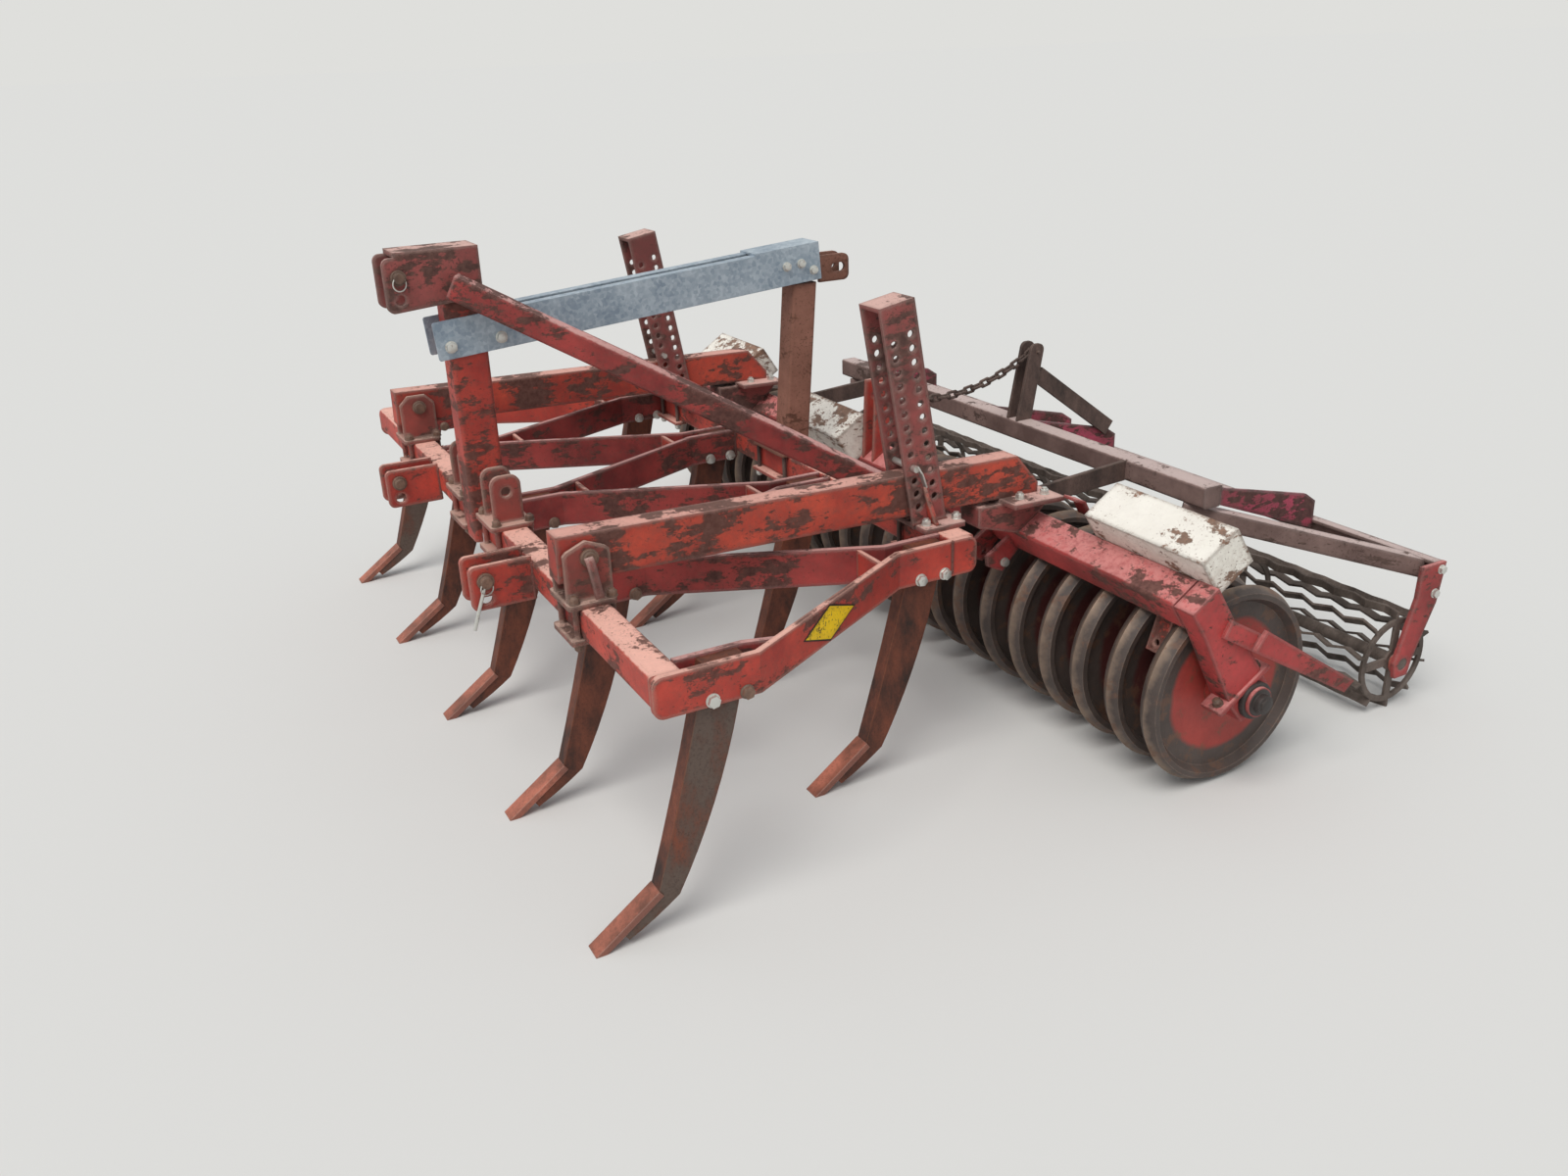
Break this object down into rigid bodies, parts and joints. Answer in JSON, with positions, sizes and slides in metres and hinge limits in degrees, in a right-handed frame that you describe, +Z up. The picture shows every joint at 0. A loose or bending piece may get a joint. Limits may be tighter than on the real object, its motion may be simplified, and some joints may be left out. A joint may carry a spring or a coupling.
{
  "type": "field cultivator",
  "caption": "Mounted field cultivator with two rows of rigid tines, a bevelled ring packer on depth-set arms and a trailing cage roller.",
  "frame": {"origin": "on the ground, centred across the machine and at the middle of its length", "axes": "+Z up, -Y forward towards the tractor, +X to the machine's left"},
  "size_m": [2.854, 2.3368, 1.264],
  "materials": {
    "red_paint": "weathered chalky paint",
    "tine_steel": "rust over worn paint",
    "rusty_steel": "rusted",
    "galvanised": "galvanised",
    "brown_primer": "primed",
    "mauve_paint": "faded",
    "cream_paint": "chipped paint",
    "ring_steel": "worn edges",
    "pin_steel": "zinc plated"
  },
  "bodies": {
    "cultivator_frame": {"front_beam": "red_paint", "rear_beam": "red_paint", "plates_outer": "red_paint", "plates_second": "red_paint", "plates_third": "red_paint", "plates_inner": "red_paint", "plates_short": "red_paint", "plate_webs": "red_paint", "front_tines": "tine_steel", "rear_tines": "tine_steel", "front_points": "tine_steel", "rear_points": "tine_steel", "link_bracket_left": "red_paint", "link_bracket_right": "red_paint", "hitch_pins": "pin_steel", "mast": "red_paint", "mast_head": "red_paint", "clevis_clamps": "red_paint", "arm_clamps": "red_paint", "arm_pins": "pin_steel", "stays": "red_paint", "top_channels": "galvanised", "rear_clevis": "brown_primer", "rear_post": "brown_primer", "depth_post_left": "red_paint", "depth_post_right": "red_paint", "depth_pins": "pin_steel"},
    "packer_frame": {"arm_left": "red_paint", "arm_right": "red_paint", "arm_mounts": "rusty_steel", "packer_tube": "red_paint", "front_lugs": "red_paint", "front_tabs": "red_paint", "hinge_pins": "pin_steel", "packer_end_arms": "red_paint", "ballast_weights": "cream_paint", "centre_upright": "red_paint", "side_bars": "red_paint"},
    "packer_roller": {"packer_rings": "ring_steel", "packer_axle": "ring_steel"},
    "crumbler_frame": {"crumbler_beam": "mauve_paint", "crumbler_rear_rail": "mauve_paint", "crumbler_braces": "mauve_paint", "crumbler_brackets": "mauve_paint", "crumbler_end_arms": "red_paint", "drag_arms": "rusty_steel", "chain_tower": "rusty_steel", "chain": "rusty_steel"},
    "cage_roller_body": {"cage_roller": "rusty_steel"}
  },
  "joints": [
    {"name": "packer_lift", "type": "hinge", "parent": "cultivator_frame", "child": "packer_frame", "pos_m": [0, -0.9702, 0.7], "axis": [1, 0, 0], "range_deg": [-0.6, 0.6]},
    {"name": "packer_spin", "type": "hinge", "parent": "packer_frame", "child": "packer_roller", "pos_m": [0, 0.3958, 0.25], "axis": [1, 0, 0], "continuous": true},
    {"name": "crumbler_lift", "type": "hinge", "parent": "packer_frame", "child": "crumbler_frame", "pos_m": [0, 0.3198, 0.528], "axis": [1, 0, 0], "range_deg": [-15, 20]},
    {"name": "crumbler_spin", "type": "hinge", "parent": "crumbler_frame", "child": "cage_roller_body", "pos_m": [0, 1.0328, 0.14], "axis": [1, 0, 0], "continuous": true}
  ]
}
